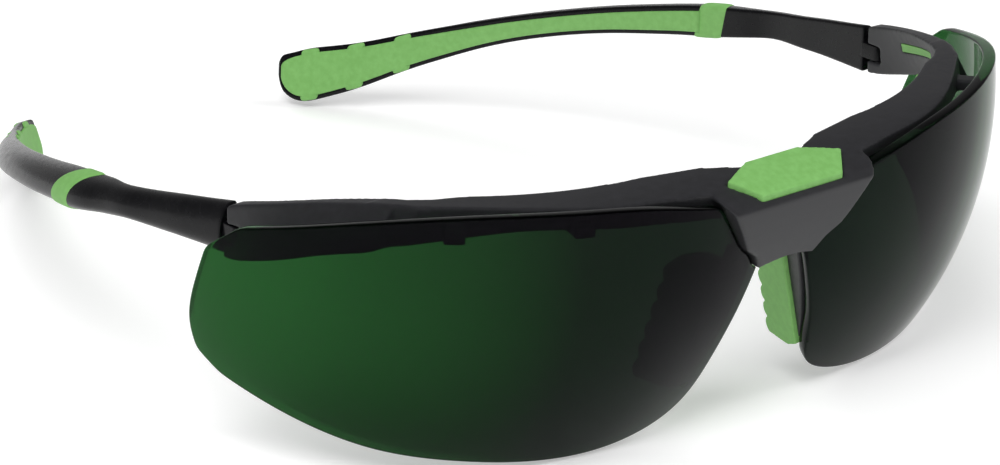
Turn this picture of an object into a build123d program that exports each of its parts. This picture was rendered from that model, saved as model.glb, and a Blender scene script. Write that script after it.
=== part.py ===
"""Wrap-around welding spectacles: a moulded brow frame with two tinted lenses, soft pads and
two folding temples.  Millimetres, +Z up, the lenses face -Y, +X is the wearer's left.
The origin is on the resting surface, at the centre of the footprint."""
from build123d import *
from math import cos, radians, sin
import os

os.makedirs("parts", exist_ok=True)

# ---- Where the hinge is; every other place is measured from the top of the hinge line
HINGE_Y = -32.62
HINGE_Z = 39.68

# ---- Lens: a shell that bulges both ways; its axis leans, and the brow leans with it
LENS_X = 20.3
LENS_Y = 4.8
LEAN = Vector(-0.344, -0.17, 1).normalized()
LENS_CREST = 0.45
LENS_WRAP_R = 57.4
LENS_BULGE_R = 76.0
LENS_THICK = 2.2
LENS_TURN = -53.0
LENS_TOP = [(-40.0, 1.9), (-26.4, 5.4), (-17.9, 6.2), (-0.6, 6.5), (20.5, 4.1), (35.5, 0.6)]
LENS_OUTER = [(40.7, -3.9), (42.6, -11.0), (43.4, -18.6), (42.4, -23.0)]
LENS_BOTTOM = [
    (38.8, -26.3), (26.6, -31.8), (14.4, -35.9), (2.1, -37.9), (-13.5, -39.6), (-24.0, -39.0), (-32.6, -35.2),
    (-38.5, -25.7), (-41.4, -19.5), (-45.6, -9.0),
]
LENS_CORNER_R = 1.5

# ---- Brow frame
BAR_X = 19.0
BAR_Y = 6.6
BAR_TOP_Z = 5.5
BAR_REAR_R = 47.7
BAR_TOP = [(1.2, -0.7), (-4.0, 0.8), (-10.0, 2.3), (-17.0, 4.0), (-24.0, 5.2), (-30.0, 5.6), (-38.0, 5.7),
           (-46.0, 5.1), (-54.0, 2.3)]
BAR_BOTTOM = [(-58.0, -1.8), (-54.0, -1.7), (-50.0, -0.4), (-47.0, 1.2), (-43.0, 2.1), (-38.0, 1.6),
              (-33.0, 0.4), (-28.0, -0.8), (-20.0, -2.8), (-13.0, -5.4), (-4.5, -8.2), (1.2, -9.0)]
BAR_FRONT = [(57.1, -30.4), (52.0, -34.9), (45.6, -40.2), (39.0, -44.5), (32.9, -47.1), (26.4, -48.6),
             (19.0, -50.0)]
EAR_FACE_Y = 0.8
# Sections of the end piece from the hinge forwards: y, top inner x, top outer x, bottom inner x, bottom outer x
END_STATIONS = [
    (EAR_FACE_Y, 66.8, 70.2, 66.9, 70.7), (-3.0, 66.2, 68.9, 67.2, 70.7), (-9.0, 64.4, 66.9, 67.0, 70.0),
    (-15.0, 61.7, 64.5, 65.8, 69.0), (-19.0, 59.7, 62.9, 64.2, 68.2), (-23.0, 57.6, 61.2, 61.5, 66.4),
    (-27.0, 55.0, 59.4, 57.6, 63.4),
]
POST_TURNS = (-70.0, -50.0)
POST_R = 55.6
POST_SIZE = (5.0, 3.4)
POST_HEIGHT = 1.8
POST_FLOOR_Z = 1.4
SLOT_STATIONS = (-9.0, -13.0, -17.0, -21.0)
SLOT_INSET = 2.6
SLOT_HEIGHT = 1.6
SLOT_DEPTH = 1.1
BRIDGE_SIDE = [(15.9, 3.1), (14.8, 1.6), (10.0, -6.1), (7.5, -7.9), (5.7, -10.7)]
BRIDGE_ARCH_Z = -9.9
BRIDGE_RIDGE = (-54.9, 1.3)
SEAM = 0.15

# ---- Soft pads on the frame
BROW_PAD_PLAN = [(5.4, -46.4), (12.0, -49.6), (8.4, -53.9)]
BROW_PAD_RISE = 0.7
BROW_PAD_SINK = 0.8
LINER_THICK = 1.2
LINER_TURNS = (-85.0, -52.0)
LINER_FLOOR_Z = 1.8
LINER_HEIGHT = 1.8

# ---- Nose pads: a grey leg behind each lens edge carries a soft plate
NOSE_ORIGIN = (6.3, -45.4, -12.2)
NOSE_DOWN = Vector(0.3, 0.13, -0.945)
NOSE_BACK = Vector(0.149, 0.977, 0.154)
LEG_WIDTH = 2.0
LEG_REACH = 7.0
LEG_GAP = 0.05
LEG_THICK = 1.6
LEG_LENGTH = 20.4
TONGUE_DEPTH = 3.6
TONGUE_THICK = 0.7
NOSE_PAD_DEPTH = 8.4
NOSE_PAD_THICK = 2.6
NOSE_PAD_TOP = -3.2
NOSE_PAD_BOTTOM = -22.8
SCALLOPS = 6
SCALLOP_BULGE = 0.9


# ---- Hinge
PIVOT_X = 68.6
PIVOT_Y = -0.5
ARM_FACE_Y = 2.0
PIN_R = 0.7
PIN_FIT = 0.05
KNUCKLE_R = 1.5
KNUCKLE_TOP = -3.8
KNUCKLE_BOTTOM = -6.5
KNUCKLE_GAP = 0.2
SCREW_HEAD_R = 1.15
SCREW_HEAD = 0.9
SCREW_BASE_Z = -8.5
SCREW_TOP_Z = -2.1

# ---- Temple: sections along the arm's inner face, each
# (distance, step outwards, thickness, middle height, height)
ARM_X = 66.8
ARM_BEND_Y = 28.0
ARM_BEND_R = 121.6
ARM_STATIONS = [
    (ARM_FACE_Y, 0.3, 3.6, -5.0, 8.4), (8.0, 0.8, 3.7, -5.7, 7.4), (14.0, 1.3, 3.8, -6.4, 6.5),
    (20.0, 1.7, 3.8, -7.2, 5.7), (27.0, 2.1, 4.0, -8.1, 5.0), (30.0, 1.9, 4.2, -8.65, 5.1),
    (33.0, 1.3, 5.0, -9.2, 5.3), (36.0, 1.0, 5.7, -9.8, 5.5), (40.0, 0.9, 6.0, -10.6, 5.8),
    (46.0, 0.5, 6.0, -11.7, 5.7), (54.0, 0.3, 5.8, -13.4, 5.4), (64.0, 0.2, 5.5, -15.6, 5.0),
    (76.0, 0.1, 5.0, -18.6, 4.8), (88.0, 0.0, 4.4, -22.1, 5.2), (97.0, 0.1, 4.0, -25.2, 6.1),
    (106.0, 0.2, 3.8, -28.4, 7.3), (113.0, 0.3, 3.7, -31.0, 8.5), (121.0, 0.4, 3.6, -33.2, 9.8),
    (123.7, 0.45, 3.5, -33.8, 10.0), (126.0, 0.5, 3.4, -34.1, 9.3), (127.8, 0.55, 3.2, -33.9, 7.9),
    (129.0, 0.6, 3.0, -33.4, 5.8), (129.6, 0.7, 2.7, -33.0, 3.6),
]
ARM_LEAN = 16.0
ARM_LEAN_START = 92.0
ARM_LEAN_RUN = 24.0
BAND_START = 37.6
BAND_LENGTH = 6.3
BAND_SLANT = 0.35
BAND_RAKE = 0.2
BAND_MIDDLE_Z = -10.9
BAND_DEPTH = 1.1
GRIP_START = 43.0
GRIP_END = 128.6
GRIP_DEPTH = 1.7
GRIP_PROUD = 0.6
RIM = 0.9
RIB_STATIONS = (105.7, 114.8, 123.5)
RIB_WIDTH = 3.4

PLAN = Plane(origin=(0, HINGE_Y, HINGE_Z))
SIDE = Plane(origin=(0, HINGE_Y, HINGE_Z), x_dir=(0, 1, 0), z_dir=(1, 0, 0))
FRONT = Plane(origin=(0, HINGE_Y, HINGE_Z), x_dir=(1, 0, 0), z_dir=(0, -1, 0))


def plan_at(z):
    """Plan plane at height z above the top of the hinge."""
    return PLAN.offset(z)


def around_bar(radius, turn):
    """Plan point at a radius and angle about the centre of the brow's curve."""
    return BAR_X + radius * cos(radians(turn)), BAR_Y + radius * sin(radians(turn))


def side_face(top, bottom):
    """Closed side outline between a top curve and a bottom curve given from rear to front."""
    with BuildSketch(SIDE) as outline:
        with BuildLine():
            upper = Spline(*top)
            lower = Spline(*bottom)
            Line(upper @ 1, lower @ 0)
            Line(lower @ 1, upper @ 0)
        make_face()
    return outline.sketch


def below_top(inset, height):
    """Side outline of a layer that follows the brow's top, inset below it."""
    upper = [(y, z - inset) for y, z in BAR_TOP]
    lower = [(y, z - inset - height) for y, z in reversed(BAR_TOP)]
    return side_face(upper, lower)


# ---- Lens: revolved shell cut to its outline
lens_centre = Vector(LENS_X, HINGE_Y + LENS_Y, HINGE_Z)
lens_side = Vector(1, 0, 0) - LEAN * LEAN.X
lens_axis = Plane(origin=lens_centre, x_dir=lens_side, z_dir=lens_side.cross(LEAN))
lens_view = Plane(
    origin=lens_centre,
    x_dir=(-sin(radians(LENS_TURN)), cos(radians(LENS_TURN)), 0),
    z_dir=(cos(radians(LENS_TURN)), sin(radians(LENS_TURN)), 0),
)


def bridge_outline(margin=0.0):
    """Front outline of the bridge, wider by margin on each side."""
    right = [(x + margin, z) for x, z in BRIDGE_SIDE]
    left = [(-x, z) for x, z in reversed(right)]
    with BuildSketch(FRONT) as outline:
        with BuildLine():
            Polyline(*right)
            ThreePointArc(right[-1], (0, BRIDGE_ARCH_Z - margin), left[0])
            Polyline(*left)
            Polyline(left[-1], (-right[0][0], 8), (right[0][0], 8), right[0])
        make_face()
    return outline.sketch


with BuildPart() as lens_blank:
    with BuildSketch(lens_axis) as shell_section:
        with Locations((LENS_WRAP_R - LENS_BULGE_R, LENS_CREST)):
            Circle(LENS_BULGE_R)
            Circle(LENS_BULGE_R - LENS_THICK, mode=Mode.SUBTRACT)
        with Locations((LENS_WRAP_R - 17, -10)):
            Rectangle(40, 90, mode=Mode.INTERSECT)
    revolve(axis=Axis(lens_centre, LEAN))
    with BuildSketch(lens_view) as lens_outline:
        with BuildLine():
            brow_edge = Spline(*LENS_TOP)
            outer_edge = Spline(*LENS_OUTER)
            lower_edge = Spline(*LENS_BOTTOM)
            Line(brow_edge @ 1, outer_edge @ 0)
            Line(outer_edge @ 1, lower_edge @ 0)
            Line(lower_edge @ 1, brow_edge @ 0)
        make_face()
        fillet(lens_outline.vertices(), LENS_CORNER_R)
    extrude(amount=90, mode=Mode.INTERSECT)
    extrude(bridge_outline(SEAM), amount=70, mode=Mode.SUBTRACT)

outer_surface = lens_blank.faces().sort_by(SortBy.AREA)[-2]

with BuildPart() as lens_left:
    thicken(outer_surface, amount=-LENS_THICK)

# ---- Brow frame: two curved bars with end pieces, and the bridge between the lenses
def hinge_slot(gap):
    """Plan of the slot for the hinge knuckle: round behind the pin, open to both sides."""
    reach = KNUCKLE_R + gap
    with BuildSketch(plan_at(KNUCKLE_BOTTOM - KNUCKLE_GAP)) as slot:
        with Locations((PIVOT_X, PIVOT_Y)):
            Circle(reach)
        with BuildLine():
            Polyline((PIVOT_X - 8, PIVOT_Y - reach), (PIVOT_X, PIVOT_Y - reach), (PIVOT_X, PIVOT_Y),
                     (PIVOT_X + 8, PIVOT_Y), (PIVOT_X + 8, 1), (PIVOT_X - 8, 1), close=True)
        make_face()
    return slot.sketch


with BuildPart() as bridge:
    extrude(bridge_outline(), amount=70)
    with BuildSketch(SIDE) as bridge_side:
        with BuildLine():
            crown = Spline((-46.6, 4.9), (-50.0, 4.0), (-53.9, 2.3), BRIDGE_RIDGE)
            front_face = ThreePointArc(crown @ 1, (-53.3, -4.6), (-50.7, -10.8))
            Polyline(front_face @ 1, (-47.6, -10.4), (-50.2, -3.6), (-50.2, -1.2), (-46.6, -1.2), crown @ 0)
        make_face()
    extrude(amount=40, both=True, mode=Mode.INTERSECT)

with BuildPart() as brow_pad:
    with BuildSketch(plan_at(-4)) as hexagon:
        with BuildLine():
            Polyline(*BROW_PAD_PLAN, *[(-x, y) for x, y in reversed(BROW_PAD_PLAN)], close=True)
        make_face()
    extrude(amount=14)
    extrude(below_top(-BROW_PAD_RISE, BROW_PAD_RISE + BROW_PAD_SINK), amount=40, both=True,
            mode=Mode.INTERSECT)

def end_edges(y, width=None, inset=0.0, height=None):
    """Corners of the end piece's section at y, or of a bar that lies on its inner face."""
    for after, before in zip(END_STATIONS[1:], END_STATIONS):
        if y >= after[0]:
            break
    share = (y - before[0]) / (after[0] - before[0])
    top_in, top_out, low_in, low_out = [a + (b - a) * share for a, b in zip(before[1:], after[1:])]
    top_z = height_at(BAR_TOP, y)
    low_z = height_at(BAR_BOTTOM, y)
    if width is None:
        return [(top_in, top_z), (top_out, top_z - 0.1), (low_out, low_z), (low_in, low_z)]
    slope = (low_in - top_in) / (low_z - top_z)
    high = (top_in - slope * inset, top_z - inset)
    low = (top_in - slope * (inset + height), top_z - inset - height)
    return [(high[0] - 1, high[1]), (high[0] + width, high[1]), (low[0] + width, low[1]), (low[0] - 1, low[1])]


def height_at(curve, y):
    """Height of a brow curve at y, read between its points."""
    points = sorted(curve)
    for before, after in zip(points, points[1:]):
        if y <= after[0]:
            return before[1] + (after[1] - before[1]) * (y - before[0]) / (after[0] - before[0])
    return points[-1][1]


def end_loft(stations, **bar):
    """Solid through the end piece's sections at these places along Y."""
    faces = []
    for y in stations:
        with BuildSketch(Plane(origin=(0, HINGE_Y + y, HINGE_Z), x_dir=(1, 0, 0), z_dir=(0, -1, 0))) as section:
            with BuildLine():
                Polyline(*end_edges(y, **bar), close=True)
            make_face()
        faces.append(section.sketch)
    return loft(faces)


end_piece = end_loft([station[0] for station in END_STATIONS])
slot_bar = end_loft(SLOT_STATIONS, width=SLOT_DEPTH, inset=SLOT_INSET, height=SLOT_HEIGHT)

with BuildPart() as brow_frame:
    with BuildSketch(plan_at(BAR_TOP_Z)) as bar_plan:
        with BuildLine():
            Polyline((0, -46.6), (5.4, -46.4), (12.0, -43.3), around_bar(BAR_REAR_R, -86))
            rear = CenterArc((BAR_X, BAR_Y), BAR_REAR_R, -86, 35)
            Polyline(rear @ 1, (53.0, -28.6), (55.9, -26.2), (57.6, -23.0), (61.2, -23.0), (57.1, -30.4))
            front_edge = Spline(*BAR_FRONT)
            Polyline(front_edge @ 1, (12.4, -51.0), (0, -51.0), (0, -46.6))
        make_face()
    extrude(amount=10, dir=LEAN, both=True)
    extrude(side_face(BAR_TOP, BAR_BOTTOM), amount=90, mode=Mode.INTERSECT)
    add(end_piece)
    with BuildSketch(plan_at(POST_FLOOR_Z)):
        for turn in POST_TURNS:
            with Locations(Location((*around_bar(POST_R, turn), 0), (0, 0, 1), turn)):
                Rectangle(*POST_SIZE)
    extrude(amount=POST_HEIGHT)
    add(lens_left.part, mode=Mode.SUBTRACT)
    add(slot_bar, mode=Mode.SUBTRACT)
    extrude(hinge_slot(0.35), amount=KNUCKLE_TOP - KNUCKLE_BOTTOM + 2 * KNUCKLE_GAP, mode=Mode.SUBTRACT)
    with BuildSketch(plan_at(SCREW_BASE_Z - 1)):
        with Locations((PIVOT_X, PIVOT_Y)):
            Circle(PIN_R + 0.01)
    extrude(amount=SCREW_TOP_Z - SCREW_BASE_Z + 1.1, mode=Mode.SUBTRACT)
    with BuildSketch(plan_at(SCREW_BASE_Z - 1)):
        with Locations((PIVOT_X, PIVOT_Y)):
            Circle(SCREW_HEAD_R + 0.02)
    extrude(amount=SCREW_HEAD + 1, mode=Mode.SUBTRACT)
    mirror(about=Plane.YZ)
    add(bridge.part)
    add(brow_pad.part, mode=Mode.SUBTRACT)


with BuildPart() as brow_liner_left:
    with BuildSketch(plan_at(BAR_TOP_Z)) as liner_plan:
        with BuildLine():
            start, end = LINER_TURNS
            far = CenterArc((BAR_X, BAR_Y), BAR_REAR_R, start, end - start)
            near = CenterArc((BAR_X, BAR_Y), BAR_REAR_R - LINER_THICK, start, end - start)
            Line(far @ 0, near @ 0)
            Line(far @ 1, near @ 1)
        make_face()
    extrude(amount=6, dir=LEAN * -1)
    with BuildSketch(plan_at(LINER_FLOOR_Z)):
        with Locations((40, -40)):
            Rectangle(100, 60)
    extrude(amount=LINER_HEIGHT, mode=Mode.INTERSECT)

with BuildPart() as end_insert_left:
    add(slot_bar)
    add(end_piece, mode=Mode.INTERSECT)

# ---- Nose legs and pads
nose_normal = NOSE_DOWN.cross(NOSE_BACK)
nose_place = Plane(origin=Vector(0, HINGE_Y, HINGE_Z) + Vector(*NOSE_ORIGIN), x_dir=NOSE_BACK, z_dir=nose_normal)

with BuildPart() as nose_leg_left:
    with BuildSketch(nose_place):
        with BuildLine():
            Polyline((-LEG_REACH, 4.6), (LEG_WIDTH, 3.6), (LEG_WIDTH, -LEG_LENGTH), (-LEG_REACH, -LEG_LENGTH),
                     close=True)
        make_face()
    extrude(amount=LEG_THICK)
    with BuildSketch(nose_place.offset((LEG_THICK - TONGUE_THICK) / 2)):
        with Locations((LEG_WIDTH + TONGUE_DEPTH / 2, -11.5)):
            Rectangle(TONGUE_DEPTH, 14)
    extrude(amount=TONGUE_THICK)
    with BuildSketch(lens_axis) as inside_lens:
        with Locations((LENS_WRAP_R - LENS_BULGE_R, LENS_CREST)):
            Circle(LENS_BULGE_R - LENS_THICK - LEG_GAP)
        with Locations((30, -10)):
            Rectangle(60, 90, mode=Mode.INTERSECT)
    revolve(axis=Axis(lens_centre, LEAN), mode=Mode.INTERSECT)
    add(brow_frame.part, mode=Mode.SUBTRACT)

with BuildPart() as nose_pad_left:
    with BuildSketch(nose_place.offset((LEG_THICK - NOSE_PAD_THICK) / 2 - 0.3)):
        with BuildLine():
            top_rear = Vector(LEG_WIDTH + NOSE_PAD_DEPTH, NOSE_PAD_TOP)
            bottom_rear = Vector(LEG_WIDTH + NOSE_PAD_DEPTH - 0.4, NOSE_PAD_BOTTOM)
            run = bottom_rear - top_rear
            for i in range(SCALLOPS):
                a = top_rear + run * (i / SCALLOPS)
                b = top_rear + run * ((i + 1) / SCALLOPS)
                SagittaArc(a, b, SCALLOP_BULGE)
            Polyline(bottom_rear, (LEG_WIDTH + 2.5, -LEG_LENGTH - 1.6), (LEG_WIDTH, -LEG_LENGTH),
                     (LEG_WIDTH, 0.8), (LEG_WIDTH + 4.0, 0.4), (LEG_WIDTH + NOSE_PAD_DEPTH - 1.6, -1.2),
                     top_rear)
        make_face()
    extrude(amount=NOSE_PAD_THICK)
    add(nose_leg_left.part, mode=Mode.SUBTRACT)

# ---- Hinge screw: enters from below, its shaft is the pivot
with BuildPart() as hinge_screw_left:
    with BuildSketch(plan_at(SCREW_BASE_Z)):
        with Locations((PIVOT_X, PIVOT_Y)):
            Circle(SCREW_HEAD_R)
    extrude(amount=SCREW_HEAD)
    with BuildSketch(plan_at(SCREW_BASE_Z + SCREW_HEAD)):
        with Locations((PIVOT_X, PIVOT_Y)):
            Circle(PIN_R)
    extrude(amount=SCREW_TOP_Z - SCREW_BASE_Z - SCREW_HEAD)
    with BuildSketch(plan_at(SCREW_BASE_Z)):
        with Locations((PIVOT_X, PIVOT_Y)):
            Rectangle(2.0, 0.4)
    extrude(amount=0.35, mode=Mode.SUBTRACT)


# ---- Temple
def arm_plane(distance, middle):
    """Plane square to the arm at a distance along it and at its middle height; local x points outwards.
    Towards the tip it leans, so that the arm's top edge ends up outside its bottom edge."""
    heading = max(0.0, distance - ARM_BEND_Y) / ARM_BEND_R
    straight = min(distance, ARM_BEND_Y)
    origin = (ARM_X - ARM_BEND_R * (1 - cos(heading)), HINGE_Y + straight + ARM_BEND_R * sin(heading),
              HINGE_Z + middle)
    upright = Plane(origin=origin, x_dir=(cos(heading), sin(heading), 0), z_dir=(sin(heading), -cos(heading), 0))
    share = min(1.0, max(0.0, (distance - ARM_LEAN_START) / ARM_LEAN_RUN))
    return upright.rotated((0, 0, -ARM_LEAN * share))


def arm_section(distance, step, thick, middle, height, inset=0.0):
    """D-shaped section with a flat inner face and a rounded, creased outer face."""
    height -= 2 * inset
    thick -= 2 * inset
    inner = step + inset
    low = -height / 2
    high = height / 2
    with BuildSketch(arm_plane(distance, middle)) as section:
        with BuildLine():
            Line((inner, low), (inner, high))
            upper = Spline((inner, high), (inner + 0.35 * thick, high - 0.01 * height),
                           (inner + 0.7 * thick, high - 0.12 * height),
                           (inner + 0.92 * thick, high - 0.33 * height),
                           (inner + thick, -0.1 * height))
            Spline(upper @ 1, (inner + 0.95 * thick, low + 0.2 * height),
                   (inner + 0.75 * thick, low + 0.06 * height), (inner + 0.4 * thick, low), (inner, low))
        make_face()
    return section.sketch


def arm_loft(inset=0.0, stations=ARM_STATIONS):
    """Solid arm through its stations, all sections shrunk by inset."""
    return loft([arm_section(*station, inset) for station in stations])


def station_at(distance):
    """Step, thickness, middle height and height of the arm at a distance along it."""
    for before, after in zip(ARM_STATIONS, ARM_STATIONS[1:]):
        if distance <= after[0]:
            share = (distance - before[0]) / (after[0] - before[0])
            return [a + (b - a) * share for a, b in zip(before[1:], after[1:])]
    return list(ARM_STATIONS[-1][1:])


def grip_section(distance, proud):
    """Rectangle on the arm's inner face, between the rims."""
    step, _, middle, height = station_at(distance)
    width = GRIP_DEPTH + proud
    with BuildSketch(arm_plane(distance, middle)) as section:
        with Locations((step + GRIP_DEPTH - width / 2, 0)):
            Rectangle(width, height - 2 * RIM)
    return section.sketch


def grip_loft(proud):
    """Strip along the inner face from the band to past the tip."""
    distances = [GRIP_START] + [d for d, *_ in ARM_STATIONS if GRIP_START < d < GRIP_END] + [GRIP_END]
    return loft([grip_section(d, proud) for d in distances])


def rib(distance, proud):
    """Bar across the arm that fills one pair of notches in its rims."""
    step, _, middle, height = station_at(distance)
    with BuildSketch(arm_plane(distance, middle)) as section:
        with Locations((step + GRIP_DEPTH / 2 - proud / 2, 0)):
            Rectangle(GRIP_DEPTH + proud, height + 0.2)
    return extrude(section.sketch, amount=RIB_WIDTH / 2, both=True)


whole_arm = arm_loft()
band_core = arm_loft(BAND_DEPTH, ARM_STATIONS[6:11])

with BuildPart() as band_slab:
    with BuildSketch(plan_at(BAND_MIDDLE_Z)):
        with BuildLine():
            inner_x = ARM_X - 6
            outer_x = ARM_X + 10
            front_inner = BAND_START - 6 * BAND_SLANT
            front_outer = BAND_START + 10 * BAND_SLANT
            Polyline((inner_x, front_inner), (outer_x, front_outer), (outer_x, front_outer + BAND_LENGTH),
                     (inner_x, front_inner + BAND_LENGTH), close=True)
        make_face()
    extrude(amount=12, dir=(0, -BAND_RAKE, 1), both=True)

with BuildPart() as temple_arm_left:
    add(whole_arm)
    add(band_slab.part - band_core, mode=Mode.SUBTRACT)
    add(grip_loft(2.0), mode=Mode.SUBTRACT)
    for distance in RIB_STATIONS:
        add(rib(distance, 1.0), mode=Mode.SUBTRACT)
    with BuildSketch(plan_at(KNUCKLE_BOTTOM)):
        with Locations((PIVOT_X, PIVOT_Y)):
            Circle(KNUCKLE_R)
        with BuildLine():
            Polyline((PIVOT_X - KNUCKLE_R, PIVOT_Y), (PIVOT_X + KNUCKLE_R, PIVOT_Y),
                     (PIVOT_X + KNUCKLE_R, ARM_FACE_Y + 1), (PIVOT_X - 0.7, ARM_FACE_Y + 1),
                     (PIVOT_X - KNUCKLE_R, ARM_FACE_Y - 0.5), close=True)
        make_face()
    extrude(amount=KNUCKLE_TOP - KNUCKLE_BOTTOM)
    with BuildSketch(plan_at(KNUCKLE_BOTTOM)):
        with Locations((PIVOT_X, PIVOT_Y)):
            Circle(PIN_R + PIN_FIT)
    extrude(amount=KNUCKLE_TOP - KNUCKLE_BOTTOM, mode=Mode.SUBTRACT)

with BuildPart() as temple_band_left:
    add(whole_arm)
    add(band_slab.part, mode=Mode.INTERSECT)
    add(band_core, mode=Mode.SUBTRACT)

with BuildPart() as temple_grip_left:
    add(grip_loft(GRIP_PROUD))
    for distance in RIB_STATIONS:
        add(rib(distance, GRIP_PROUD))
    add(band_slab.part, mode=Mode.SUBTRACT)

# ---- The wearer's right side mirrors the left
left_pieces = {
    "lens": lens_left,
    "brow_liner": brow_liner_left,
    "end_insert": end_insert_left,
    "nose_leg": nose_leg_left,
    "nose_pad": nose_pad_left,
    "hinge_screw": hinge_screw_left,
    "temple_arm": temple_arm_left,
    "temple_band": temple_band_left,
    "temple_grip": temple_grip_left,
}
pieces = {"brow_frame": brow_frame.part, "brow_pad": brow_pad.part}
for name, left in left_pieces.items():
    with BuildPart() as right:
        mirror(left.part, about=Plane.YZ)
    pieces[f"{name}_left"] = left.part
    pieces[f"{name}_right"] = right.part

for name, piece in pieces.items():
    piece.label = name
    export_step(piece, f"parts/{name}.step")
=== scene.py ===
"""Looks of the wrap-around welding spectacles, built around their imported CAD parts.

Places are in millimetres from the top of the hinge line, as in part.py, and turn into metres in
add_piece().  Everything is made for the wearer's left (+X) and mirrored for the right.
"""
import math

import bpy
import numpy as np
from mathutils import Matrix


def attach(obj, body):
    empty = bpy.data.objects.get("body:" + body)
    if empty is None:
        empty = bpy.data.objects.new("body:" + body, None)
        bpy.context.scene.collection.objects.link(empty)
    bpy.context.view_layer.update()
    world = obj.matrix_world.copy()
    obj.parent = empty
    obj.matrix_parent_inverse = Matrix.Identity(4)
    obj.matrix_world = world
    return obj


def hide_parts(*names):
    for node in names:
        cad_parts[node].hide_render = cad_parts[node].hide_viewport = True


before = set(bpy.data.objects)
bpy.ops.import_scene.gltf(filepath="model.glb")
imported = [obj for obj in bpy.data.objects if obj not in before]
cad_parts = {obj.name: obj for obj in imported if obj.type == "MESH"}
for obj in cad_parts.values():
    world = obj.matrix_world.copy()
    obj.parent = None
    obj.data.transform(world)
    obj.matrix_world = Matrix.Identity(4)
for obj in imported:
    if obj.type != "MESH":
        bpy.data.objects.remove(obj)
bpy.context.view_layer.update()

MM = 0.001
HINGE = np.array([0.0, -32.62, 39.68])
SIDES = {"left": 1, "right": -1}
LENS_REACH = 78.0  # from the middle plane to the outermost point of a lens


# ---- Materials
def new_material(name):
    """An empty node material with a Principled shader; returns it with its tree and shader."""
    material = bpy.data.materials.new(name)
    material.use_nodes = True
    return material, material.node_tree, material.node_tree.nodes["Principled BSDF"]


def noise(tree, size_mm, detail=2.0):
    """Noise texture with features of about this size, fixed to the object."""
    place = tree.nodes.new("ShaderNodeTexCoord")
    texture = tree.nodes.new("ShaderNodeTexNoise")
    texture.inputs["Scale"].default_value = 1 / (size_mm * MM)
    texture.inputs["Detail"].default_value = detail
    tree.links.new(place.outputs["Object"], texture.inputs["Vector"])
    return texture.outputs["Fac"]


def ramp(tree, fac, *stops):
    """Colour ramp with (position, colour) stops."""
    node = tree.nodes.new("ShaderNodeValToRGB")
    band = node.color_ramp
    while len(band.elements) < len(stops):
        band.elements.new(0.5)
    for element, (position, colour) in zip(band.elements, stops):
        element.position = position
        element.color = (*colour, 1)
    tree.links.new(fac, node.inputs["Fac"])
    return node.outputs["Color"]


def bump(tree, shader, layers):
    """Chains (height, distance in mm, strength) layers into the shader's normal."""
    last = None
    for height, distance, strength in layers:
        node = tree.nodes.new("ShaderNodeBump")
        node.inputs["Distance"].default_value = distance * MM
        node.inputs["Strength"].default_value = strength
        tree.links.new(height, node.inputs["Height"])
        if last:
            tree.links.new(last, node.inputs["Normal"])
        last = node.outputs["Normal"]
    tree.links.new(last, shader.inputs["Normal"])


def grey(value):
    return (value, value, value)


def plastic(name, dark, light, rough, grain_mm, grain_depth):
    """Moulded plastic: faint mottling in colour and gloss over a fine spark-eroded grain."""
    material, tree, shader = new_material(name)
    mottle = noise(tree, 1.2, 5)
    tree.links.new(ramp(tree, mottle, (0.35, dark), (0.7, light)), shader.inputs["Base Color"])
    tree.links.new(ramp(tree, mottle, (0.3, grey(rough[0])), (0.75, grey(rough[1]))),
                   shader.inputs["Roughness"])
    shader.inputs["IOR"].default_value = 1.45
    bump(tree, shader, [(noise(tree, grain_mm, 2), grain_depth, 0.6)])
    return material


frame_grey = plastic("frame_grey", (0.018, 0.018, 0.020), (0.024, 0.024, 0.027), (0.44, 0.54), 0.16, 0.02)
arm_black = plastic("arm_black", (0.0030, 0.0030, 0.0038), (0.0050, 0.0050, 0.0060), (0.22, 0.30), 0.5, 0.003)
soft_green = plastic("soft_green", (0.185, 0.430, 0.115), (0.220, 0.490, 0.145), (0.62, 0.75), 0.22, 0.035)
arm_black.node_tree.nodes["Principled BSDF"].inputs["IOR"].default_value = 1.27
screw_steel = plastic("screw_steel", (0.40, 0.40, 0.41), (0.55, 0.55, 0.56), (0.25, 0.40), 0.1, 0.006)
screw_steel.node_tree.nodes["Principled BSDF"].inputs["Metallic"].default_value = 1.0


def tinted_glass():
    """Dark green welding glass with a weak and slightly violet reflection; its colour is painted lighter and
    greener towards the outer ends and darker towards the nose, a painted gradient of light and shade.
    """
    material, tree, shader = new_material("lens_green")
    place = tree.nodes.new("ShaderNodeTexCoord")
    split = tree.nodes.new("ShaderNodeSeparateXYZ")
    tree.links.new(place.outputs["Object"], split.inputs[0])
    across = tree.nodes.new("ShaderNodeMath")
    across.operation = "ABSOLUTE"
    tree.links.new(split.outputs["X"], across.inputs[0])
    outwards = tree.nodes.new("ShaderNodeMath")
    outwards.operation = "DIVIDE"
    outwards.inputs[1].default_value = LENS_REACH * MM
    tree.links.new(across.outputs[0], outwards.inputs[0])
    # Painted light and shade: the glass colour is made lighter and greener towards the outer ends and darker
    # towards the nose, standing in for the lit floor seen through the outer ends and the shade under the
    # lenses by the nose.
    tint_and_painted_light = ramp(tree, outwards.outputs[0],
                (0.05, (0.002, 0.007, 0.003)), (0.5, (0.004, 0.011, 0.0045)),
                (0.85, (0.009, 0.053, 0.011)), (1.0, (0.014, 0.085, 0.017)))
    tree.links.new(tint_and_painted_light, shader.inputs["Base Color"])
    tree.links.new(ramp(tree, noise(tree, 4, 3), (0.4, grey(0.0)), (0.8, grey(0.012))),
                   shader.inputs["Roughness"])
    shader.inputs["Transmission Weight"].default_value = 1.0
    shader.inputs["IOR"].default_value = 1.16
    shader.inputs["Specular Tint"].default_value = (0.88, 0.80, 1.0, 1)
    return material


lens_green = tinted_glass()


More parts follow.
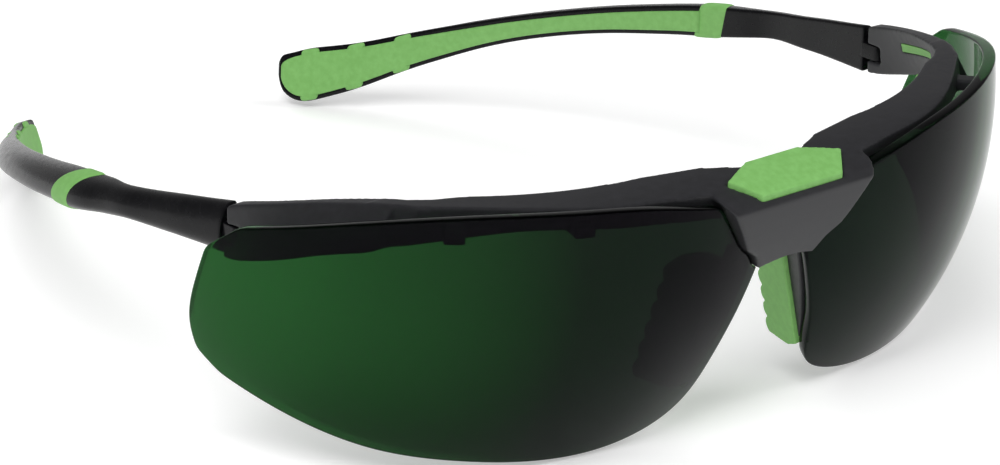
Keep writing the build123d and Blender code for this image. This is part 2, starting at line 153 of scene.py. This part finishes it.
# ---- Meshes
def add_piece(name, points, faces, material, body, slot, *replaced, smooth=True):
    """Adds a mesh of points in millimetres from the hinge line, riding on a body for CAD nodes."""
    mesh = bpy.data.meshes.new(name)
    mesh.from_pydata(((np.asarray(points) + HINGE) * MM).tolist(), [], faces)
    mesh.validate()
    if smooth:
        mesh.polygons.foreach_set("use_smooth", [True] * len(mesh.polygons))
    mesh.materials.append(material)
    piece = bpy.data.objects.new(name, mesh)
    bpy.context.scene.collection.objects.link(piece)
    return dress(piece, body, slot, *replaced)


def dress(piece, body, slot, *replaced):
    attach(piece, body)
    if replaced:
        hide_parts(*replaced)
    return piece


def add_both(name, points, faces, material, body, slot, *replaced):
    """The left piece and its mirror image; {side} in a name becomes left or right."""
    points = np.asarray(points, float)
    for side, sign in SIDES.items():
        turned = [f[::sign] for f in faces]
        add_piece(name.format(side=side), points * (sign, 1, 1), turned, material,
                  body.format(side=side), slot, *[n.format(side=side) for n in replaced])


def rings_faces(rings, around, start=0, closed=True):
    """Quads between successive rings of the same number of points."""
    faces = []
    for r in range(rings - 1):
        for i in range(around if closed else around - 1):
            j = (i + 1) % around
            a = start + r * around
            faces.append((a + i, a + j, a + around + j, a + around + i))
    return faces


def spline(points, count):
    """Natural cubic curve through points, as count points evenly spread in its parameter."""
    points = np.asarray(points, float)
    chord = np.linalg.norm(np.diff(points, axis=0), axis=1)
    t = np.concatenate([[0], np.cumsum(chord)])
    return cubic(t, points, np.linspace(0, t[-1], count))


def cubic(t, values, at):
    """Natural cubic spline of values over t, read at other places."""
    t, values, at = np.asarray(t, float), np.asarray(values, float), np.asarray(at, float)
    n, h = len(t), np.diff(t)
    system, right = np.eye(n), np.zeros_like(values)
    for i in range(1, n - 1):
        system[i, i - 1:i + 2] = h[i - 1], 2 * (h[i - 1] + h[i]), h[i]
        right[i] = 6 * ((values[i + 1] - values[i]) / h[i] - (values[i] - values[i - 1]) / h[i - 1])
    second = np.linalg.solve(system, right)
    k = np.clip(np.searchsorted(t, at) - 1, 0, n - 2)
    shape = (-1,) + (1,) * (values.ndim - 1)
    a, b, w = (t[k + 1] - at).reshape(shape), (at - t[k]).reshape(shape), h[k].reshape(shape)
    return (second[k] * a ** 3 + second[k + 1] * b ** 3) / (6 * w) + (
        values[k] / w - second[k] * w / 6) * a + (values[k + 1] / w - second[k + 1] * w / 6) * b


def resample(loop, count, closed=True):
    """Points evenly spaced along a polyline."""
    loop = np.asarray(loop, float)
    if closed:
        loop = np.vstack([loop, loop[:1]])
    run = np.concatenate([[0], np.cumsum(np.linalg.norm(np.diff(loop, axis=0), axis=1))])
    at = np.linspace(0, run[-1], count + closed)[:count]
    return np.stack([np.interp(at, run, loop[:, k]) for k in range(loop.shape[1])], 1)


def soften(loop, reach):
    """Rounds the corners of a closed, evenly spaced loop over about this distance."""
    step = np.linalg.norm(np.diff(loop, axis=0), axis=1).mean()
    width = int(max(1, round(2 * reach / step)))
    k = np.arange(-width, width + 1)
    weight = np.exp(-0.5 * (k * step / (reach * 0.7)) ** 2)
    weight /= weight.sum()
    return sum(w * np.roll(loop, -i, axis=0) for i, w in zip(k, weight))


# ---- Lenses: the CAD shell's surface with a polished, rounded rim
LENS_O = np.array([20.3, 4.8, 0.0])
LEAN = np.array([-0.344, -0.17, 1.0]) / np.linalg.norm([-0.344, -0.17, 1.0])
LENS_CREST, LENS_WRAP_R, LENS_BULGE_R, LENS_THICK = 0.45, 57.4, 76.0, 2.2
LENS_TURN = math.radians(-53)
ACROSS = np.array([-math.sin(LENS_TURN), math.cos(LENS_TURN), 0])
OUTWARD = np.array([math.cos(LENS_TURN), math.sin(LENS_TURN), 0])
LENS_TOP = [(-40.0, 1.9), (-26.4, 5.4), (-17.9, 6.2), (-0.6, 6.5), (20.5, 4.1), (35.5, 0.6)]
LENS_OUTER = [(40.7, -3.9), (42.6, -11.0), (43.4, -18.6), (42.4, -23.0)]
LENS_BOTTOM = [
    (38.8, -26.3), (26.6, -31.8), (14.4, -35.9), (2.1, -37.9), (-13.5, -39.6), (-24.0, -39.0), (-32.6, -35.2),
    (-38.5, -25.7), (-41.4, -19.5), (-45.6, -9.0),
]
BRIDGE_SIDE = [(16.2, 9.0), (16.2, 3.1), (15.1, 1.6), (10.3, -6.1), (7.8, -7.9), (5.9, -10.8), (0, -10.1)]
RIM_ROUND = 0.35
FIRST_GUESS_R = 57.0


def lens_surface(u, z):
    """Outer surface point and normal above each place (u, z) of the lens outline."""
    base = LENS_O + np.outer(u, ACROSS) + np.outer(z, (0, 0, 1))
    t = np.sqrt(np.maximum(FIRST_GUESS_R ** 2 - u ** 2, 1))
    for _ in range(12):
        point = base + np.outer(t, OUTWARD)
        along = (point - LENS_O) @ LEAN
        radial = point - LENS_O - np.outer(along, LEAN)
        r = np.linalg.norm(radial, axis=1)
        normal = (r + LENS_BULGE_R - LENS_WRAP_R)[:, None] * radial / r[:, None] + np.outer(
            along - LENS_CREST, LEAN)
        size = np.linalg.norm(normal, axis=1)
        normal /= size[:, None]
        t = t - (size - LENS_BULGE_R) / (normal @ OUTWARD)
    return base + np.outer(t, OUTWARD), normal


def lens_outline():
    """Closed outline in (u, z), with the corner behind the bridge cut away."""
    loop = np.vstack([spline(LENS_TOP, 160), spline(LENS_OUTER, 60), spline(LENS_BOTTOM, 260)])
    loop = soften(resample(loop, 700), 1.0)
    place, _ = lens_surface(loop[:, 0], loop[:, 1])
    edge = np.array(BRIDGE_SIDE)[::-1]
    limit = np.interp(place[:, 2], edge[1:, 1], edge[1:, 0])
    hidden = ((place[:, 0] < limit) & (place[:, 2] > -10.6))
    first = np.flatnonzero(~hidden & np.roll(hidden, 1))[0]
    kept = np.roll(loop, -first, axis=0)[: (~hidden).sum()]
    cut_xz = resample(np.array(BRIDGE_SIDE)[::-1], 400, closed=False)
    low, high = np.full(400, -60.0), np.full(400, 10.0)
    for _ in range(40):
        middle = (low + high) / 2
        x = lens_surface(middle, cut_xz[:, 1])[0][:, 0]
        low, high = np.where(x < cut_xz[:, 0], middle, low), np.where(x < cut_xz[:, 0], high, middle)
    cut = np.stack([low, cut_xz[:, 1]], 1)
    start = np.argmin(np.linalg.norm(cut - kept[-1], axis=1))
    end = np.argmin(np.linalg.norm(cut - kept[0], axis=1))
    loop = np.vstack([kept, cut[start + 4:end - 4]])
    return soften(resample(loop, 460), 0.45)


def lens_mesh():
    """Outer and inner skins of a lens, joined by a rounded rim."""
    outline = lens_outline()
    count = len(outline)
    edge, normal = lens_surface(outline[:, 0], outline[:, 1])
    tangent = np.roll(edge, -1, axis=0) - np.roll(edge, 1, axis=0)
    outward = np.cross(tangent, normal)
    outward /= np.linalg.norm(outward, axis=1)[:, None]
    if ((edge - edge.mean(0)) * outward).sum() < 0:
        outward = -outward
    inner_edge = edge - RIM_ROUND * outward
    flat = np.stack([(inner_edge - LENS_O) @ ACROSS, inner_edge[:, 2]], 1)
    centre = np.array([0.0, -16.0])
    shares = 1 - np.linspace(1, 0, 34)[1:] ** 1.5
    layers = []
    for depth in (0.0, LENS_THICK):
        rows = []
        for share in shares:
            at = centre + (flat - centre) * share
            place, up = lens_surface(at[:, 0], at[:, 1])
            rows.append(place - depth * up)
        layers.append(rows)
    rim = []
    for angle in np.linspace(0, math.pi, 11)[1:-1]:
        c, s = math.cos(angle), math.sin(angle)
        high = math.copysign(abs(c) ** 0.6, c) * LENS_THICK / 2
        out = abs(s) ** 0.6 * RIM_ROUND - RIM_ROUND
        rim.append(edge + (high - LENS_THICK / 2) * normal + out * outward)
    rings = layers[0] + rim + layers[1][::-1]
    points = np.vstack(rings)
    faces = rings_faces(len(rings), count)
    for depth, ring, flip in ((0.0, 0, 1), (LENS_THICK, len(rings) - 1, -1)):
        place, up = lens_surface(centre[None, 0], centre[None, 1])
        points = np.vstack([points, place - depth * up])
        hub = len(points) - 1
        faces += [(hub, ring * count + (i + 1) % count, ring * count + i)[::flip] for i in range(count)]
    return points, faces


def outward_faces(points, faces):
    """The faces, turned so that the closed mesh's volume is positive."""
    volume = 0.0
    points = np.asarray(points)
    for face in faces:
        a = points[face[0]]
        for b, c in zip(face[1:], face[2:]):
            volume += np.dot(a, np.cross(points[b], points[c]))
    return faces if volume > 0 else [f[::-1] for f in faces]


lens_points, lens_faces = lens_mesh()
lens_faces = outward_faces(lens_points, lens_faces)
add_both("lens_{side}_shell", lens_points, lens_faces, lens_green, "front", "lens_green", "lens_{side}")


# ---- Temples
ARM_X, ARM_BEND_Y, ARM_BEND_R = 66.8, 28.0, 121.6
ARM_STATIONS = np.array([
    (2.0, 0.3, 3.6, -5.0, 8.4), (8.0, 0.8, 3.7, -5.7, 7.4), (14.0, 1.3, 3.8, -6.4, 6.5),
    (20.0, 1.7, 3.8, -7.2, 5.7), (27.0, 2.1, 4.0, -8.1, 5.0), (30.0, 1.9, 4.2, -8.65, 5.1),
    (33.0, 1.3, 5.0, -9.2, 5.3), (36.0, 1.0, 5.7, -9.8, 5.5), (40.0, 0.9, 6.0, -10.6, 5.8),
    (46.0, 0.5, 6.0, -11.7, 5.7), (54.0, 0.3, 5.8, -13.4, 5.4), (64.0, 0.2, 5.5, -15.6, 5.0),
    (76.0, 0.1, 5.0, -18.6, 4.8), (88.0, 0.0, 4.4, -22.1, 5.2), (97.0, 0.1, 4.0, -25.2, 6.1),
    (106.0, 0.2, 3.8, -28.4, 7.3), (113.0, 0.3, 3.7, -31.0, 8.5), (121.0, 0.4, 3.6, -33.2, 9.8),
    (123.7, 0.45, 3.5, -33.8, 10.0), (126.0, 0.5, 3.4, -34.1, 9.3), (127.8, 0.55, 3.2, -33.9, 7.9),
    (129.0, 0.6, 3.0, -33.4, 5.8), (129.6, 0.7, 2.7, -33.0, 3.6),
])
ARM_START, ARM_END = 2.0, 129.55
START_ROUND, END_ROUND = 0.4, 1.0
ARM_LEAN, ARM_LEAN_START, ARM_LEAN_RUN = math.radians(16), 92.0, 24.0
OUTER_PROFILE = [(0, 0.5), (0.35, 0.49), (0.7, 0.38), (0.92, 0.17), (1.0, -0.1), (0.95, -0.3),
                 (0.75, -0.44), (0.4, -0.5), (0, -0.5)]
AROUND = 72
# The ring: start and length along the arm, slant outwards and rake
BAND = (37.6, 6.3, 0.35, 0.2)
BAND_MIDDLE_Z = -10.9
RIM = 1.15
RIBS = (105.7, 114.8, 123.5)
RIB_WIDTH = 3.4


def station(distance):
    """Step, thickness, middle height and height of the arm at distances along it."""
    return cubic(ARM_STATIONS[:, 0], ARM_STATIONS[:, 1:], np.atleast_1d(distance)).T


def arm_place(distance, out, z):
    """Points at distances along the arm, offsets outwards from its inner line, and heights."""
    distance = np.asarray(distance, float)
    lean = ARM_LEAN * np.clip((distance - ARM_LEAN_START) / ARM_LEAN_RUN, 0, 1)
    up = z - np.interp(distance, ARM_STATIONS[:, 0], ARM_STATIONS[:, 3])
    out, z = out * np.cos(lean) + up * np.sin(lean), z - up + up * np.cos(lean) - out * np.sin(lean)
    heading = np.clip((distance - ARM_BEND_Y) / ARM_BEND_R, 0, None)
    x = ARM_X - ARM_BEND_R * (1 - np.cos(heading)) + out * np.cos(heading)
    y = np.minimum(distance, ARM_BEND_Y) + ARM_BEND_R * np.sin(heading) + out * np.sin(heading)
    return np.stack([x, y, z + 0 * x], -1)


def arm_ring(distance, shrink=0.0, round_by=0.45):
    """(out, height) loop of the arm's section, from the middle of its inner face."""
    step, thick, middle, height = [v[0] for v in station(distance)]
    thick, height = thick - 2 * shrink, height - 2 * shrink
    outer = spline([(step + shrink + a * thick, middle + b * height) for a, b in OUTER_PROFILE], 90)
    inner = np.linspace(outer[-1], outer[0], 30)[1:-1]
    loop = np.vstack([inner[14:], outer, inner[:14]])
    return resample(soften(resample(loop, 200), min(round_by, 0.2 * height)), AROUND)


def arm_table():
    """Distances along the arm and the section's loop at each, with both ends rounded."""
    distances = np.concatenate([ARM_START + 0.5 * np.linspace(0, 1, 5) ** 2,
                                np.arange(3.0, ARM_END - END_ROUND, 0.5),
                                ARM_END - END_ROUND * (1 - np.sin(np.linspace(0.1, 1, 9) * math.pi / 2))])
    rings = []
    for d in distances:
        start_share = max(0.0, (ARM_START + START_ROUND - d) / START_ROUND)
        start_shrink = 0.35 * (1 - math.sqrt(max(0.0, 1 - start_share ** 2)))
        end_share = max(0.0, (d - ARM_END + END_ROUND) / END_ROUND)
        end_shrink = 0.9 * (1 - math.sqrt(max(0.0, 1 - end_share ** 2)))
        rings.append(arm_ring(min(d, ARM_END), start_shrink + end_shrink))
    return distances, np.array(rings)


arm_distances, arm_rings = arm_table()


def capped(rings):
    """Points and faces of a closed skin over rings, with a fan at both ends."""
    count = len(rings[0])
    points = np.vstack(list(rings) + [rings[0].mean(0)[None], rings[-1].mean(0)[None]])
    faces = rings_faces(len(rings), count)
    first, last = len(points) - 2, len(points) - 1
    tail = (len(rings) - 1) * count
    faces += [(first, (i + 1) % count, i) for i in range(count)]
    faces += [(last, tail + i, tail + (i + 1) % count) for i in range(count)]
    return points, outward_faces(points, faces)


def joined(*skins):
    """Several skins as one mesh."""
    points, faces, offset = [], [], 0
    for p, f in skins:
        points.append(p)
        faces += [tuple(i + offset for i in face) for face in f]
        offset += len(p)
    return np.vstack(points), faces


def rounded_prism(outline, low, high, edge):
    """Upright prism over a plan outline, its top and bottom edges rounded."""
    outline = np.asarray(outline, float)
    tangent = np.roll(outline, -1, axis=0) - np.roll(outline, 1, axis=0)
    outward = np.stack([tangent[:, 1], -tangent[:, 0]], 1)
    outward /= np.linalg.norm(outward, axis=1)[:, None]
    if ((outline - outline.mean(0)) * outward).sum() < 0:
        outward = -outward
    rings = []
    for angle in np.linspace(-90, 0, 5):
        a = math.radians(angle)
        rings.append((outline - edge * (1 - math.cos(a)) * outward, low + edge * (1 + math.sin(a))))
    for angle in np.linspace(0, 90, 5):
        a = math.radians(angle)
        rings.append((outline - edge * (1 - math.cos(a)) * outward, high - edge * (1 - math.sin(a))))
    return capped([np.column_stack([ring, np.full(len(ring), z)]) for ring, z in rings])


PIVOT = (68.6, -0.5)
KNUCKLE_R = 1.5


def knuckle():
    """Upright eye at the front of the arm, around the screw."""
    px, py = PIVOT
    nose = [(px + KNUCKLE_R * math.cos(a), py + KNUCKLE_R * math.sin(a))
            for a in np.linspace(0, -math.pi, 24)]
    outline = nose + [(px - KNUCKLE_R, 2.6), (px + KNUCKLE_R, 2.6)]
    return rounded_prism(soften(resample(outline, 120), 0.15), -6.5, -3.8, 0.15)


arm_skin = capped([arm_place(d, ring[:, 0], ring[:, 1]) for d, ring in zip(arm_distances, arm_rings)])
arm_points, arm_faces = joined(arm_skin, knuckle())
add_both("temple_arm_{side}_body", arm_points, arm_faces, arm_black, "temple_{side}", "arm_black",
         "temple_arm_{side}")


def around_arm(distance, proud):
    """Points around the arm, each at its own distance along it, standing proud of its skin."""
    out = np.array([np.interp(d, arm_distances, arm_rings[:, i, 0]) for i, d in enumerate(distance)])
    z = np.array([np.interp(d, arm_distances, arm_rings[:, i, 1]) for i, d in enumerate(distance)])
    loop = np.stack([out, z], 1)
    tangent = np.roll(loop, -1, axis=0) - np.roll(loop, 1, axis=0)
    normal = np.stack([tangent[:, 1], -tangent[:, 0]], 1)
    normal /= np.linalg.norm(normal, axis=1)[:, None]
    if ((loop - loop.mean(0)) * normal).sum() < 0:
        normal = -normal
    loop = loop + proud * normal
    return arm_place(distance, loop[:, 0], loop[:, 1])


def band():
    """Soft ring moulded round the arm, leaning back towards its outer and lower sides."""
    start, length, slant, rake = BAND
    middle = arm_ring(start + length / 2)
    lean = slant * middle[:, 0] - rake * (middle[:, 1] - BAND_MIDDLE_Z)
    rings = []
    for turn in np.linspace(0, math.pi, 25):
        c, s = math.cos(turn), math.sin(turn)
        along = (1 - math.copysign(abs(c) ** 0.35, c)) * length / 2
        rings.append(around_arm(start + along + lean, -0.8 + 1.02 * abs(s) ** 0.35))
    return capped(rings)


band_points, band_faces = band()
add_both("temple_band_{side}_ring", band_points, band_faces, soft_green, "temple_{side}", "soft_green",
         "temple_band_{side}")


def slab_ring(distance, inner, outer, half_height, edge):
    """Rounded rectangle across the arm, between two offsets from its inner line."""
    step, _, middle, _ = [v[0] for v in station(distance)]
    corners = [(step + inner, middle + half_height), (step + outer, middle + half_height),
               (step + outer, middle - half_height), (step + inner, middle - half_height)]
    loop = soften(resample(corners, 160), edge)
    loop = np.roll(loop, 40, axis=0)
    return arm_place(distance, loop[:, 0], loop[:, 1])


def grip():
    """Soft strip on the inner face, with ribs that wrap over the arm's edges near the tip."""
    start = BAND[0] + BAND[1] - 0.6
    end = 129.0
    rings = []
    for d in np.concatenate([np.arange(start, end - 3.0, 0.9), end - 3.0 * (1 - np.sin(
            np.linspace(0, 1, 10) * math.pi / 2))]):
        height = station(d)[3][0]
        tip = max(0.0, (d - end + 3.0) / 3.0)
        half = max(0.3, height / 2 - RIM + 0.25 - 0.9 * (1 - math.sqrt(max(0.0, 1 - tip ** 2))))
        proud = 0.45 * math.sqrt(max(0.0, 1 - tip ** 2))
        rings.append(slab_ring(d, -proud, 1.4, half, 0.3))
    skins = [capped(rings)]
    for rib in RIBS:
        bars = []
        for turn in np.linspace(-1, 1, 13):
            bulge = abs(1 - abs(turn) ** 4) ** 0.5
            height = station(rib)[3][0]
            d = rib + turn * RIB_WIDTH / 2
            half = height / 2 - 0.5 + 0.4 * bulge
            bars.append(slab_ring(d, -0.1 - 0.3 * bulge, 1.7 + 0.3 * bulge, half, 0.5))
        skins.append(capped(bars))
    return joined(*skins)


grip_points, grip_faces = grip()
add_both("temple_grip_{side}_strip", grip_points, grip_faces, soft_green, "temple_{side}", "soft_green",
         "temple_grip_{side}")


# ---- Moulded pieces: the CAD solid with its edges rounded off
def moulded(node, voxel_mm, smooth_steps, material, body, slot):
    """A fine remesh of a CAD node, relaxed so that its edges are rounded like a moulding's."""
    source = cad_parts[node]
    mesh = source.data.copy()
    mesh.materials.clear()
    work = bpy.data.objects.new("work", mesh)
    bpy.context.scene.collection.objects.link(work)
    remesh = work.modifiers.new("remesh", "REMESH")
    remesh.mode = "VOXEL"
    remesh.voxel_size = voxel_mm * MM
    relax = work.modifiers.new("relax", "SMOOTH")
    relax.factor = 0.5
    relax.iterations = smooth_steps
    done = bpy.data.meshes.new_from_object(work.evaluated_get(bpy.context.evaluated_depsgraph_get()))
    bpy.data.objects.remove(work)
    done.polygons.foreach_set("use_smooth", [True] * len(done.polygons))
    done.materials.clear()
    done.materials.append(material)
    piece = bpy.data.objects.new(f"{node}_moulded", done)
    bpy.context.scene.collection.objects.link(piece)
    return dress(piece, body, slot, node)


moulded("brow_frame", 0.22, 18, frame_grey, "front", "frame_grey")
moulded("brow_pad", 0.14, 16, soft_green, "front", "soft_green")
for side in SIDES:
    moulded(f"brow_liner_{side}", 0.14, 8, soft_green, "front", "soft_green")
    moulded(f"end_insert_{side}", 0.1, 6, soft_green, "front", "soft_green")
    moulded(f"nose_leg_{side}", 0.12, 6, frame_grey, "front", "frame_grey")
    moulded(f"nose_pad_{side}", 0.14, 14, soft_green, "front", "soft_green")
    moulded(f"hinge_screw_{side}", 0.06, 3, screw_steel, "front", "screw_steel")

# ---- Stage, light and camera
floor_mesh = bpy.data.meshes.new("floor")
floor_mesh.from_pydata([(-6, -6, 0), (6, -6, 0), (6, 6, 0), (-6, 6, 0)], [], [(0, 1, 2, 3)])
floor = bpy.data.objects.new("floor", floor_mesh)
bpy.context.scene.collection.objects.link(floor)
floor_white, _, floor_shader = new_material("floor_white")
floor_shader.inputs["Base Color"].default_value = (0.9, 0.9, 0.9, 1)
floor_shader.inputs["Roughness"].default_value = 0.9
floor_shader.inputs["Emission Color"].default_value = (1, 1, 1, 1)
floor_shader.inputs["Emission Strength"].default_value = 0.25
floor_mesh.materials.append(floor_white)
floor.location.z = -0.0005


def softbox(name, place, size, power):
    """Square lamp that faces the origin and is hidden from reflections."""
    light = bpy.data.lights.new(name, "AREA")
    light.shape = "SQUARE"
    light.size = size
    light.energy = power
    lamp = bpy.data.objects.new(name, light)
    bpy.context.scene.collection.objects.link(lamp)
    lamp.location = place
    lamp.visible_glossy = False
    towards = -lamp.location
    lamp.rotation_mode = "QUATERNION"
    lamp.rotation_quaternion = towards.to_track_quat("-Z", "Y")


softbox("key", (-0.7, -0.5, 1.2), 0.9, 15)
softbox("fill", (0.9, -0.6, 0.9), 0.8, 7)
softbox("back", (0.2, 1.3, 0.9), 0.9, 7)

# The sky is bright near the horizon and dim overhead, so that the glossy arms stay black
world = bpy.data.worlds.new("world")
bpy.context.scene.world = world
world.use_nodes = True
sky_tree = world.node_tree
sky_place = sky_tree.nodes.new("ShaderNodeTexCoord")
sky_split = sky_tree.nodes.new("ShaderNodeSeparateXYZ")
sky_tree.links.new(sky_place.outputs["Generated"], sky_split.inputs[0])
sky = ramp(sky_tree, sky_split.outputs["Z"], (0.0, grey(0.80)), (0.45, grey(0.32)), (1.0, grey(0.20)))
sky_tree.links.new(sky, sky_tree.nodes["Background"].inputs["Color"])
sky_tree.nodes["Background"].inputs["Strength"].default_value = 0.6

camera_data = bpy.data.cameras.new("camera")
camera_data.sensor_width = 36
camera_data.lens = 154.53
camera_data.clip_start = 0.01
camera = bpy.data.objects.new("camera", camera_data)
bpy.context.scene.collection.objects.link(camera)
right, up, back = (0.7723, -0.6352, 0.0111), (0.2290, 0.2945, 0.9278), (-0.5926, -0.7140, 0.3729)
place = np.array([-430.53, -499.43, 242.62]) + HINGE
camera.matrix_world = Matrix([[right[i], up[i], back[i], place[i] * MM] for i in range(3)] + [[0, 0, 0, 1]])
bpy.context.scene.camera = camera
bpy.context.scene.view_settings.view_transform = "Standard"
